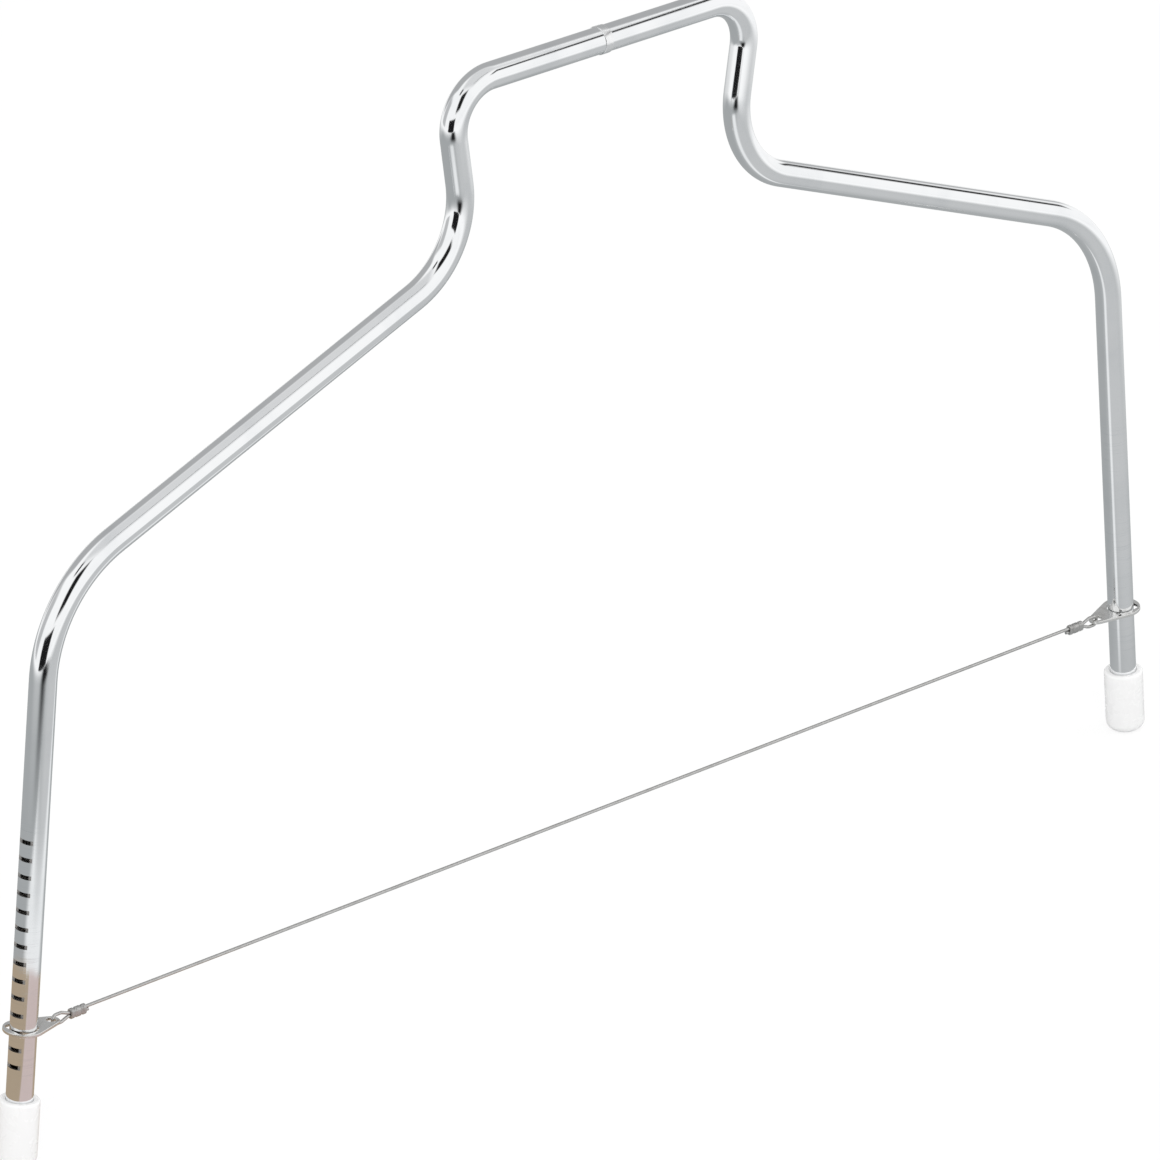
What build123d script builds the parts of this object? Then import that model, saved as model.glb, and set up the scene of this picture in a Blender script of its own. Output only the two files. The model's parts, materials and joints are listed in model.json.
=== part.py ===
from build123d import *
import os
from math import cos, radians, sin, tan

# Wire cake leveler: a bent tube frame with a raised handle and two splayed legs, which
# carries a thin cutting wire between two flat plates that lock into notches on the legs.
# The origin is on the floor, midway between the feet. X runs along the wire, Z is up.
# Everything is modelled on the +X side and mirrored, so left is -X.

# Frame tube
tube_od = 8.0
tube_wall = 0.7
leg_half_span = 220.0      # middle of the frame to a leg's axis, at the height of the wire
leg_splay = 5.0            # degrees from upright, feet outward
shoulder_height = 172.0    # where a leg's axis would meet the shoulder's
neck_half_width = 51.0     # where a shoulder's axis would meet the neck's
neck_rise = 59.5           # that corner's height above the leg's
handle_half_width = 59.0   # where a neck's axis would meet the handle's
handle_rise = 52.0         # that corner's height above the neck's
shoulder_bend = 41.0       # bend radii on the tube's axis
neck_bend = 27.5
handle_bend = 14.0

# Notches sawn across the outward side of each leg, square to the leg and into its bore
notch_count = 14
notches_below_rest = 2
notch_pitch = 5.25
notch_depth = 1.2
notch_slack = 0.15         # above and below a plate that lies in a notch

# Joint of the two tube halves, in the middle of the handle
spigot_length = 40.0
spigot_wall = 1.0
spigot_fit = 0.03
spigot_chamfer = 0.4
bead_width = 3.0
bead_rise = 0.25
bead_fit = 0.02

# Foot caps
cap_wall = 1.98
cap_length = 20.0
cap_floor = 3.0
cap_fit = 0.02
cap_bottom_round = 3.0
cap_mouth_round = 0.7

# End plates, ringed round the legs
wire_height = 41.0
plate_thickness = 1.0
plate_ring_wall = 1.7      # beside the hole, at its sides
plate_side_gap = 0.3       # between the hole's side and the leg
plate_release_gap = 0.15   # between the hole's straight edge and the leg, when released
plate_seat_gap = 0.15      # between that edge and the notch's bottom, when locked
plate_hole_corner = 1.6
plate_tongue_reach = 4.2   # from the ring's edge to the eye's middle
plate_tip_wall = 1.15      # round the eye
plate_eye_gap = 0.35       # on each side of the wire, as the plate goes from released to locked
plate_edge_round = 0.2

# Cutting wire and the loop at each of its ends, measured from the eye towards the middle
wire_od = 1.0
strand_gap = 0.04          # between the two strands inside a ferrule
loop_plate_gap = 0.45      # above and below the plate, where it passes between the strands
loop_bight_gap = 0.45      # from the bight to the eye's inner edge, when released
loop_bight_flat = 0.1      # straight stretch between the bight's two bends
loop_neck_length = 2.4     # along which the two strands close up
loop_neck_bend = 1.5
loop_tail = 1.2            # cut end that stands out past the ferrule

# Ferrule, pressed flat round both strands
ferrule_neck_gap = 0.7     # between the end of the loop's neck and the ferrule
ferrule_length = 5.6
ferrule_wall = 0.55
ferrule_fit = 0.03
ferrule_edge_round = 0.25
crimp_width = 0.9
crimp_depth = 0.22
crimp_place_shares = (0.28, 0.72)

cut_overrun = 2.0          # how far a cutting shape runs past what it cuts

# Sizes worked out from those above
tube_radius = tube_od / 2
bore_radius = tube_radius - tube_wall
neck_height = shoulder_height + neck_rise
handle_height = neck_height + handle_rise
cap_radius = tube_radius + cap_fit + cap_wall
splay_sin = sin(radians(leg_splay))
splay_cos = cos(radians(leg_splay))
splay_tan = tan(radians(leg_splay))
notch_width = plate_thickness + 2 * notch_slack
seat_travel = plate_release_gap + notch_depth - plate_seat_gap
plate_ring_radius = tube_radius + plate_side_gap + plate_ring_wall
plate_eye_distance = plate_ring_radius + plate_tongue_reach
plate_eye_radius = (wire_od + seat_travel) / 2 + plate_eye_gap
plate_tip_radius = plate_eye_radius + plate_tip_wall
strand_offset = (wire_od + strand_gap) / 2
plate_height = wire_height - strand_offset + plate_eye_distance * splay_sin
loop_half_height = (plate_thickness + wire_od) / 2 + loop_plate_gap
loop_bend = loop_half_height - loop_bight_flat / 2
loop_bight_offset = plate_eye_radius - wire_od / 2 - loop_bight_gap
loop_straight_end = plate_tip_radius + seat_travel
loop_neck_start = loop_straight_end + loop_neck_length
ferrule_start = loop_neck_start + ferrule_neck_gap
# A cap's rounded edge touches the floor on its inner side, so its middle stands higher
cap_base_height = (
    cap_bottom_round * (1 - splay_cos) + (cap_radius - cap_bottom_round) * splay_sin
)

inward = Vector(-splay_cos, 0, -splay_sin)   # square to the leg, towards the frame's middle
up_leg = Vector(-splay_sin, 0, splay_cos)    # along the leg


def leg_axis_point(height):
    """Point of the right leg's axis at a height above the floor."""
    return Vector(leg_half_span - (height - wire_height) * splay_tan, 0, height)


def leg_plane(along_leg):
    """Plane square to the right leg, this far along it from the released plate."""
    origin = leg_axis_point(plate_height) + up_leg * along_leg
    return Plane(origin=origin, x_dir=inward, z_dir=up_leg)


# Bent frame tube


def tube_route():
    """Axis of the right half of the frame, from the foot to the middle of the handle."""
    foot_end = leg_axis_point(cap_base_height) + up_leg * cap_floor
    return FilletPolyline(
        foot_end,
        leg_axis_point(shoulder_height),
        Vector(neck_half_width, 0, neck_height),
        Vector(handle_half_width, 0, handle_height),
        Vector(0, 0, handle_height),
        radius=[shoulder_bend, neck_bend, handle_bend],
    )


def notch_cuts():
    """Saw cuts across the leg's outward side, one for each height of the plate."""
    length = tube_radius + cut_overrun
    middle = tube_radius - notch_depth + length / 2
    cuts = []
    for index in range(notch_count):
        along_leg = (index - notches_below_rest) * notch_pitch
        cut = Box(length, tube_od + cut_overrun, notch_width)
        cuts.append(leg_plane(along_leg) * Pos(-middle, 0, 0) * cut)
    return cuts


def frame_tube():
    """Right half of the bent tube, notched on its leg."""
    route = tube_route()
    section_plane = Plane(origin=route @ 0, z_dir=route % 0)
    section = section_plane * (Circle(tube_radius) - Circle(bore_radius))
    tube = sweep(section, path=route)
    return tube - notch_cuts()


# Joint in the middle of the handle


def on_handle(shape):
    """Turns a shape built along Z to lie along the handle, centred on its middle."""
    return Pos(0, 0, handle_height) * Rot(0, 90, 0) * shape


def handle_spigot():
    """Sleeve inside the handle that lines up the two tube halves."""
    outside = bore_radius - spigot_fit
    sleeve = Cylinder(outside, spigot_length)
    sleeve = chamfer(sleeve.edges().filter_by(GeomType.CIRCLE), spigot_chamfer)
    sleeve -= Cylinder(outside - spigot_wall, spigot_length + cut_overrun)
    return on_handle(sleeve)


def seam_bead():
    """Low smoothed bead round the butt joint of the two halves."""
    bead = Cylinder(tube_radius + bead_rise, bead_width)
    bead = fillet(bead.edges().filter_by(GeomType.CIRCLE), bead_rise)
    bead -= Cylinder(tube_radius + bead_fit, bead_width + cut_overrun)
    return on_handle(bead)


# Feet


def foot_cap():
    """Moulded cap pushed onto the right leg's end, with a rounded bottom edge."""
    base = Plane(origin=leg_axis_point(cap_base_height), x_dir=inward, z_dir=up_leg)
    bottom_up = (Align.CENTER, Align.CENTER, Align.MIN)
    cap = Cylinder(cap_radius, cap_length, align=bottom_up)
    rims = cap.edges().filter_by(GeomType.CIRCLE).sort_by(Axis.Z)
    cap = fillet(rims[0], cap_bottom_round)
    rims = cap.edges().filter_by(GeomType.CIRCLE).sort_by(Axis.Z)
    cap = fillet(rims[-1], cap_mouth_round)
    cap -= Pos(0, 0, cap_floor) * Cylinder(tube_radius + cap_fit, cap_length, align=bottom_up)
    return base * cap


# End plates


def plate_hole():
    """Hole for the leg: round inward, with a straight outward edge that drops in a notch."""
    side = tube_radius + plate_side_gap
    straight = tube_radius + plate_release_gap
    round_end = CenterArc((0, 0), side, -90, 180)
    corner_x = plate_hole_corner - straight
    corner_y = side - plate_hole_corner
    lower_corner = CenterArc((corner_x, -corner_y), plate_hole_corner, 180, 90)
    upper_corner = CenterArc((corner_x, corner_y), plate_hole_corner, 90, 90)
    return make_hull(round_end.edges() + lower_corner.edges() + upper_corner.edges())


def end_plate():
    """Pear-shaped plate round the right leg, with an eye in its tongue, when released."""
    ring = Circle(plate_ring_radius)
    tip = Pos(plate_eye_distance, 0, 0) * Circle(plate_tip_radius)
    eye = Pos(plate_eye_distance, 0, 0) * Circle(plate_eye_radius)
    outline = make_hull(ring.edges() + tip.edges())
    blank = extrude(outline, plate_thickness / 2, both=True)
    blank = fillet(blank.edges().filter_by(Plane.XY), plate_edge_round)
    holes = extrude(plate_hole() + eye, plate_thickness, both=True)
    return leg_plane(0) * (blank - holes)


# Wire and its ends


def eye_point():
    """Middle of the eye in the right plate, when released."""
    return leg_axis_point(plate_height) + inward * plate_eye_distance


def at_wire_end(reach, rise=0):
    """Point this far from the eye towards the frame's middle, and this far above it."""
    eye = eye_point()
    return Vector(eye.X - reach, 0, eye.Z + rise)


def wire_joint_reach():
    """Where the loop's upper strand meets the straight wire, midway in the ferrule."""
    return ferrule_start + ferrule_length / 2


def wire_tube(route):
    """Round wire along a route."""
    section_plane = Plane(origin=route @ 0, z_dir=route % 0)
    return sweep(section_plane * Circle(wire_od / 2), path=route)


def wire_loop():
    """Loop through the right plate's eye, from the ferrule and back to it."""
    tail_reach = ferrule_start + ferrule_length + loop_tail
    bends = [loop_neck_bend, loop_neck_bend, loop_bend, loop_bend, loop_neck_bend, loop_neck_bend]
    route = FilletPolyline(
        at_wire_end(wire_joint_reach(), strand_offset),
        at_wire_end(loop_neck_start, strand_offset),
        at_wire_end(loop_straight_end, loop_half_height),
        at_wire_end(loop_bight_offset, loop_half_height),
        at_wire_end(loop_bight_offset, -loop_half_height),
        at_wire_end(loop_straight_end, -loop_half_height),
        at_wire_end(loop_neck_start, -strand_offset),
        at_wire_end(tail_reach, -strand_offset),
        radius=bends,
    )
    return wire_tube(route)


def oval_bar(radius, start, length):
    """Bar of oval section round both strands, along the wire, with its ends at the start."""
    section = SlotCenterToCenter(2 * strand_offset, 2 * radius)
    bar = extrude(section, length)
    return Pos(at_wire_end(start)) * Rot(0, -90, 0) * bar


def ferrule():
    """Oval sleeve crimped round the loop's two strands."""
    inside = wire_od / 2 + ferrule_fit
    outside = inside + ferrule_wall
    sleeve = oval_bar(outside, ferrule_start, ferrule_length)
    sleeve = fillet(sleeve.edges().filter_by(Plane.YZ), ferrule_edge_round)
    for share in crimp_place_shares:
        start = ferrule_start + share * ferrule_length - crimp_width / 2
        sleeve -= (
            oval_bar(outside + cut_overrun, start, crimp_width)
            - oval_bar(outside - crimp_depth, start, crimp_width)
        )
    bore_start = ferrule_start - cut_overrun
    return sleeve - oval_bar(inside, bore_start, ferrule_length + 2 * cut_overrun)


def cutting_wire():
    """Straight taut wire between the two loops."""
    half = at_wire_end(wire_joint_reach()).X
    return Pos(0, 0, wire_height) * Rot(0, 90, 0) * Cylinder(wire_od / 2, 2 * half)


# Writing the pieces


def write(node, shape):
    """Saves one piece under its node's name."""
    shape.label = node
    export_step(shape, os.path.join("parts", node + ".step"))


os.makedirs("parts", exist_ok=True)

paired = {
    "frame_tube": frame_tube(),
    "foot_cap": foot_cap(),
    "end_plate": end_plate(),
    "wire_loop": wire_loop(),
    "ferrule": ferrule(),
}
for name, right_piece in paired.items():
    write(name + "_right", right_piece)
    write(name + "_left", mirror(right_piece, about=Plane.YZ))

write("handle_spigot", handle_spigot())
write("seam_bead", seam_bead())
write("cutting_wire", cutting_wire())

print("wire length between the ferrules' middles", 2 * at_wire_end(wire_joint_reach()).X)
print("plate travel from released to locked", seat_travel)
print("right eye", eye_point(), "right foot", leg_axis_point(cap_base_height))
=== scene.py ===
# %% [markdown]
# Cake leveler
# This lesson dresses a wire cake leveler: a bent chromed tube with a raised handle, two
# notched legs on white feet, and a thin wire that slices a cake level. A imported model
# already holds every piece at its real size. We load it as a fixed frame, and make finer
# pieces and finishes round it, all in metres and in the same place.

import json
from math import atan2, cos, degrees, pi, radians, sin, tan, tau

import bmesh
import bpy
import numpy as np
from mathutils import Euler, Matrix, Vector


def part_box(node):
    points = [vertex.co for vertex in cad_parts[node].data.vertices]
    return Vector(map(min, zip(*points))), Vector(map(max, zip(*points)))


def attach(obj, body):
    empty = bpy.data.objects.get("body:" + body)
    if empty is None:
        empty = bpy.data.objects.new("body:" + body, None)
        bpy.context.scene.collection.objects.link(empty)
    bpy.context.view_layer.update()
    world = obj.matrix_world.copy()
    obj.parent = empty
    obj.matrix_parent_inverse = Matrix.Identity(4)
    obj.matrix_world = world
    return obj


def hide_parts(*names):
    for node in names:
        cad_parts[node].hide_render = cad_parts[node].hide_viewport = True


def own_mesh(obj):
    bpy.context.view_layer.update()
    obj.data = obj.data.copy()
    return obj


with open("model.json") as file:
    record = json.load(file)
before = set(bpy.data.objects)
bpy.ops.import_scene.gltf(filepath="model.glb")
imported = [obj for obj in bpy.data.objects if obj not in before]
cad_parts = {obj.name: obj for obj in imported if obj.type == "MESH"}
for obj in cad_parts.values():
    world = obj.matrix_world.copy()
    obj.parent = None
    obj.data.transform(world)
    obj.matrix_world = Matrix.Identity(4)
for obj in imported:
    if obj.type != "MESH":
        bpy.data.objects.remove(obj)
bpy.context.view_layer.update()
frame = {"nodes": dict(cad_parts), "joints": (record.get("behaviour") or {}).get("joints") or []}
print("frame nodes:", sorted(frame["nodes"]))

# %% [markdown]
# Sizes come from the frame where it can be measured: the tube's radius is half the tube's
# depth, the handle's height is the tube's top less that radius, and a leg's lean is the axis
# of the joint that slides along it. Bend radii and other sizes that no box shows are named
# here once, in millimetres, and every piece below is worked out from them.

# %% Measure the frame and name the sizes
mm = 0.001
tube_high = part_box("frame_tube_right")[1]
wire_low, wire_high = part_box("cutting_wire")
cap_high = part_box("foot_cap_right")[1]

measure_step = 0.05 * mm       # the frame's rounds are flats, so its boxes fall microns short


def measured(size):
    """Size read from the frame, to the nearest step."""
    return round(size / measure_step) * measure_step


tube_radius = measured(tube_high.y)
tube_wall = 0.7 * mm
handle_height = measured(tube_high.z) - tube_radius
wire_radius = measured(wire_high.y)
wire_height = measured((wire_low.z + wire_high.z) / 2)
wire_half_length = wire_high.x
cap_radius = measured(cap_high.y)

joint_of = {joint["name"]: joint for joint in frame["joints"]}
up_leg = Vector(joint_of["right_height"]["axis"]).normalized()
leg_splay = atan2(-up_leg.x, up_leg.z)
leg_half_span = 220 * mm       # middle of the frame to a leg's axis, at the wire's height
print("tube radius", tube_radius, "handle height", handle_height, "splay", degrees(leg_splay))


def leg_point(height, side):
    """Point of a leg's axis at this height; side is 1 on the right and -1 on the left."""
    return Vector((side * (leg_half_span - (height - wire_height) * tan(leg_splay)), 0, height))


def leg_up(side):
    """Direction up the leg."""
    return Vector((side * up_leg.x, 0, up_leg.z))


def leg_inward(side):
    """Direction square to the leg, towards the middle of the frame."""
    return Vector((-side * cos(leg_splay), 0, -sin(leg_splay)))


side_names = {-1: "left", 1: "right"}

# %% [markdown]
# The camera stands where the photograph was taken from: to the left, in front and a little
# above, about three metres away with a long lens, so the frame is drawn almost without
# perspective. The place and the lens were found by matching the frame's outline.

# %% Camera
camera_place = Vector((-2.0064, -2.1496, 1.4005))
camera_turn = Euler((1.15866, -0.00567, -0.7468))
camera_lens = 341.4
camera_sensor = 36.0

camera_data = bpy.data.cameras.new("photo_camera")
camera_data.lens = camera_lens
camera_data.sensor_width = camera_sensor
camera_data.clip_start = 0.05
camera_data.clip_end = 100.0
camera = bpy.data.objects.new("photo_camera", camera_data)
camera.location = camera_place
camera.rotation_euler = camera_turn
bpy.context.scene.collection.objects.link(camera)
bpy.context.scene.camera = camera
bpy.context.scene.view_settings.view_transform = "Standard"
print("camera distance", camera_place.length)

# %% [markdown]
# Every material and every geometry tree here is a handful of nodes. One small helper adds a
# node, sets its options, and fills its inputs with either a value or a link, so each tree
# reads as a list of steps. The others do arithmetic, and start a node group.

# %% Helpers for node trees


def add_node(tree, kind, inputs=None, **options):
    """Adds a node; an input given as a socket is linked, and any other value is set."""
    made = tree.nodes.new(kind)
    for option, value in options.items():
        setattr(made, option, value)
    for key, value in (inputs or {}).items():
        if isinstance(value, bpy.types.NodeSocket):
            tree.links.new(value, made.inputs[key])
        else:
            made.inputs[key].default_value = value
    return made


def math_step(tree, operation, first, second=0.0):
    """Result of one arithmetic node."""
    return add_node(tree, "ShaderNodeMath", {0: first, 1: second}, operation=operation).outputs[0]


def vector_step(tree, operation, first, second):
    """Result of one arithmetic node on vectors."""
    made = add_node(tree, "ShaderNodeVectorMath", {0: first, 1: second}, operation=operation)
    return made.outputs[0]


def start_group(name, inputs, outputs):
    """Shader node group with float or vector inputs and float outputs."""
    tree = bpy.data.node_groups.new(name, "ShaderNodeTree")
    for label, default in inputs.items():
        kind = "NodeSocketVector" if default is None else "NodeSocketFloat"
        socket = tree.interface.new_socket(label, in_out="INPUT", socket_type=kind)
        if default is not None:
            socket.default_value = default
    for label in outputs:
        tree.interface.new_socket(label, in_out="OUTPUT", socket_type="NodeSocketFloat")
    return tree, tree.nodes.new("NodeGroupInput"), tree.nodes.new("NodeGroupOutput")


def new_material(name):
    """Empty node material, its tree and its output node."""
    material = bpy.data.materials.new(name)
    material.use_nodes = True
    material.node_tree.nodes.clear()
    output = material.node_tree.nodes.new("ShaderNodeOutputMaterial")
    return material, material.node_tree, output


def rays_that_see(tree):
    """1 for rays that come from the camera, a reflection or a clear body, 0 for the rest."""
    path = add_node(tree, "ShaderNodeLightPath")
    seen = path.outputs["Is Camera Ray"]
    for ray in ("Is Glossy Ray", "Is Transmission Ray"):
        seen = math_step(tree, "MAXIMUM", seen, path.outputs[ray])
    return seen


# %% [markdown]
# The photograph has a pure white ground. The floor and the world are therefore white where
# they are looked at, straight or in a reflection, but light the leveler at a plain level.
# The floor still mixes in a little ordinary paint, which is what carries the soft shadow.

# %% White world and floor
world_light = 0.84
floor_size = 60.0
floor_paint = 0.8
shadow_share = 0.16


def white_world():
    """World that looks white and lights at a lower level."""
    world = bpy.data.worlds.new("white_studio")
    bpy.context.scene.world = world
    world.use_nodes = True
    tree = world.node_tree
    tree.nodes.clear()
    level = add_node(tree, "ShaderNodeMapRange", {"Value": rays_that_see(tree), "To Min": world_light})
    back = add_node(tree, "ShaderNodeBackground", {"Color": (1, 1, 1, 1), "Strength": level.outputs[0]})
    output = tree.nodes.new("ShaderNodeOutputWorld")
    tree.links.new(back.outputs[0], output.inputs[0])


def white_floor_paint():
    """Floor that is looked at as white, less the shadow on its share of paint."""
    material, tree, output = new_material("floor_white")
    white = (1, 1, 1, 1)
    glow = add_node(tree, "ShaderNodeEmission", {"Color": white, "Strength": 1 - shadow_share})
    thin = add_node(tree, "ShaderNodeBsdfDiffuse", {"Color": (shadow_share,) * 3 + (1,)})
    looked_at = add_node(tree, "ShaderNodeAddShader", {0: glow.outputs[0], 1: thin.outputs[0]})
    plain = add_node(tree, "ShaderNodeBsdfDiffuse", {"Color": (floor_paint,) * 3 + (1,)})
    mixed = add_node(
        tree, "ShaderNodeMixShader",
        {0: rays_that_see(tree), 1: plain.outputs[0], 2: looked_at.outputs[0]},
    )
    tree.links.new(mixed.outputs[0], output.inputs[0])
    return material


def stage_board(name, points, faces, spots):
    """Board from points, faces and a UV spot for each point."""
    mesh = bpy.data.meshes.new(name)
    mesh.from_pydata(points, [], faces)
    layer = mesh.uv_layers.new(name="board")
    for loop, corner in zip(mesh.loops, layer.data):
        corner.uv = spots[loop.vertex_index]
    board = bpy.data.objects.new(name, mesh)
    bpy.context.scene.collection.objects.link(board)
    return board


def flat_board(name, width, height):
    """Rectangle in its own XY plane with a UV map from 0 to 1."""
    x, y = width / 2, height / 2
    corners = ((-x, -y, 0), (x, -y, 0), (x, y, 0), (-x, y, 0))
    return stage_board(name, corners, [(0, 1, 2, 3)], ((0, 0), (1, 0), (1, 1), (0, 1)))


white_world()
floor = flat_board("floor", floor_size, floor_size)
floor.data.materials.append(white_floor_paint())
print("world and floor made")

# %% [markdown]
# Two large soft lamps give the shadow and the shading of the matt pieces. Metal like this is
# lit by what it mirrors, so the lamps stay out of its reflections, which the cards below
# draw on their own.

# %% Soft lamps
lamp_size = 1.6
lamps = {
    "key_lamp": (Vector((-1.3, -1.5, 2.4)), 26.0),
    "fill_lamp": (Vector((1.7, -0.9, 1.9)), 9.0),
}
leveler_middle = Vector((0, 0, handle_height / 2))


def soft_lamp(name, place, watts):
    """Square area lamp that faces the leveler."""
    light = bpy.data.lights.new(name, "AREA")
    light.size = lamp_size
    light.energy = watts
    lamp = bpy.data.objects.new(name, light)
    lamp.location = place
    lamp.rotation_euler = (leveler_middle - place).to_track_quat("-Z", "Y").to_euler()
    lamp.visible_glossy = False
    bpy.context.scene.collection.objects.link(lamp)


for name, (place, watts) in lamps.items():
    soft_lamp(name, place, watts)
print("lamps:", len(lamps))

# %% [markdown]
# Chrome has no colour of its own: it shows a room. A product photographer builds that room
# from cards, and so do we. Each card is seen only in reflections, glows at its own grey, and
# fades out at its edges, so that the bands on the tube have soft borders. A card can also be
# lost to sight beyond a distance, so that a part close by mirrors it and the rest doesn't.

# %% Glow of a card
far_away = 100.0


def fade_group():
    """Mask that is 1 inside a card and falls to 0 at its edges."""
    tree, given, result = start_group("card_fade", {"Fade X": 0.25, "Fade Y": 0.25}, ["Mask"])
    spot = add_node(tree, "ShaderNodeUVMap", uv_map="board")
    parts = add_node(tree, "ShaderNodeSeparateXYZ", {0: spot.outputs[0]})
    masks = []
    for axis in ("X", "Y"):
        away = math_step(tree, "ABSOLUTE", math_step(tree, "SUBTRACT", parts.outputs[axis], 0.5))
        near = math_step(tree, "SUBTRACT", 0.5, away)
        ramp = add_node(
            tree, "ShaderNodeMapRange", {"Value": near, "From Max": given.outputs["Fade " + axis]},
            interpolation_type="SMOOTHSTEP",
        )
        masks.append(ramp.outputs[0])
    tree.links.new(math_step(tree, "MULTIPLY", *masks), result.inputs["Mask"])
    return tree


card_fade = fade_group()


def card_glow(name, colour, fade, seen_within):
    """Glow of one card, clear at its edges, for reflections no farther away than a distance."""
    material, tree, output = new_material(name + "_glow")
    mask = add_node(
        tree, "ShaderNodeGroup", {"Fade X": fade[0], "Fade Y": fade[1]}, node_tree=card_fade
    )
    path = add_node(tree, "ShaderNodeLightPath")
    near = math_step(tree, "LESS_THAN", path.outputs["Ray Length"], seen_within)
    share = math_step(tree, "MULTIPLY", mask.outputs["Mask"], near)
    clear = add_node(tree, "ShaderNodeBsdfTransparent")
    glow = add_node(tree, "ShaderNodeEmission", {"Color": (*colour, 1)})
    mixed = add_node(tree, "ShaderNodeMixShader", {0: share, 1: clear.outputs[0], 2: glow.outputs[0]})
    tree.links.new(mixed.outputs[0], output.inputs[0])
    return material


def make_card(board, colour, fade, seen_within=far_away):
    """Gives a board its glow, and leaves it to reflections alone."""
    board.data.materials.append(card_glow(board.name, colour, fade, seen_within))
    for ray in ("camera", "diffuse", "transmission", "volume_scatter", "shadow"):
        setattr(board, "visible_" + ray, False)


print("card mask:", card_fade.name)

# %% [markdown]
# A card in the room stands in a direction from the leveler, turned from +X towards +Y and
# raised from the horizon. A floor card lies a hair above the floor, and where several
# overlap, the higher layer shows. What a leg mirrors of the floor is ordered by direction
# round its foot, so its bands are drawn with slices of a disc rather than with rectangles.

# %% Shapes of cards
card_lift = 0.05 * mm
slice_steps = 30
slice_hub = 2 * mm             # a slice starts this far from its middle, so no face is a sliver
above = Vector((0, 0, 1))


def toward(azimuth, elevation):
    """Unit vector in a direction given in degrees."""
    level = cos(radians(elevation))
    return Vector((level * cos(radians(azimuth)), level * sin(radians(azimuth)), sin(radians(elevation))))


def card(name, place, facing, width, height, colour, fade, roll):
    """Card at a place, facing a point."""
    board = flat_board(name, width, height)
    turn = (facing - place).to_track_quat("Z", "Y").to_matrix().to_4x4()
    board.matrix_world = Matrix.Translation(place) @ turn @ Matrix.Rotation(radians(roll), 4, "Z")
    make_card(board, colour, fade)


def floor_card(name, place, width, height, colour, fade, layer, roll=0.0):
    """Card that lies in one of the layers on the floor."""
    spot = place + above * (card_lift * layer)
    card(name, spot, spot + above, width, height, colour, fade, roll)


def slice_card(name, middle, azimuth, spread, reach, colour, fade, layer, seen_within=far_away):
    """Floor card shaped like a slice of a disc; spread is its angle in degrees."""
    spot = middle + above * (card_lift * layer)
    points, places = [], []
    for index in range(slice_steps + 1):
        share = index / slice_steps
        way = toward(azimuth + spread * (share - 0.5), 0)
        points += [spot + way * slice_hub, spot + way * reach]
        places += [(share, 0), (share, 1)]
    faces = [(2 * index, 2 * index + 1, 2 * index + 3, 2 * index + 2) for index in range(slice_steps)]
    make_card(stage_board(name, points, faces, places), colour, fade, seen_within)


print("layers of floor cards lie", card_lift, "apart")

# %% [markdown]
# The floor holds a grey table with a paler patch in front. A pale slice about the right foot
# draws a light band between darker ones. The photograph's left leg mirrors something brown
# and pink close by, which two warm slices stand in for. The two dark cards lie on the
# photographer's side.

# %% Cards on the floor
table_grey = (0.39, 0.405, 0.41)
front_grey = (0.56, 0.57, 0.575)
stripe_white = (0.86, 0.87, 0.875)
warm_brown = (0.42, 0.335, 0.243)
warm_pink = (0.60, 0.495, 0.475)
flag_black = (0.012, 0.012, 0.013)

table_place = Vector((-0.18, 0.15, 0))
front_place = Vector((0.1, -0.27, 0))
near_place = toward(-138, 0) * 0.94
far_place = toward(-163, 0) * 1.85
right_foot = leg_point(0, 1)
stripe_reach = 740 * mm
warm_middle = leg_point(0, -1) + Vector((-40 * mm, 0, 0))
warm_reach = 162 * mm
warm_sight = 260 * mm          # only the left leg stands this near

floor_card("table_card", table_place, 2.6, 2.6, table_grey, (0.36, 0.36), 1)
floor_card("front_card", front_place, 1.1, 0.7, front_grey, (0.3, 0.3), 2)
slice_card("stripe_card", right_foot, -163, 32, stripe_reach, stripe_white, (0.4, 0.12), 3)
slice_card("warm_card", warm_middle, 117.5, 304, warm_reach, warm_brown, (0.02, 0.05), 4, warm_sight)
slice_card("pink_card", warm_middle, -52, 104, warm_reach, warm_pink, (0.16, 0.05), 5, warm_sight)
floor_card("dark_near_card", near_place, 0.8, 0.92, flag_black, (0.4, 0.26), 6, roll=-48)
floor_card("dark_far_card", far_place, 1.2, 1.1, flag_black, (0.2, 0.2), 7, roll=-73)
print("brown and pink are seen within", warm_sight)

# %% [markdown]
# Round the room stand grey walls and a ceiling, and a dark card where the camera is. The
# low dark card makes the black patches in the bends of the necks. The narrow black flags
# draw the thin dark lines along the handle, the arms and the shoulder.

# %% Cards in the room
wall_grey = (0.43, 0.435, 0.44)
side_grey = (0.52, 0.525, 0.53)
ceiling_grey = (0.70, 0.705, 0.71)
room_middle = Vector((0, 0, 0.22))

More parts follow.
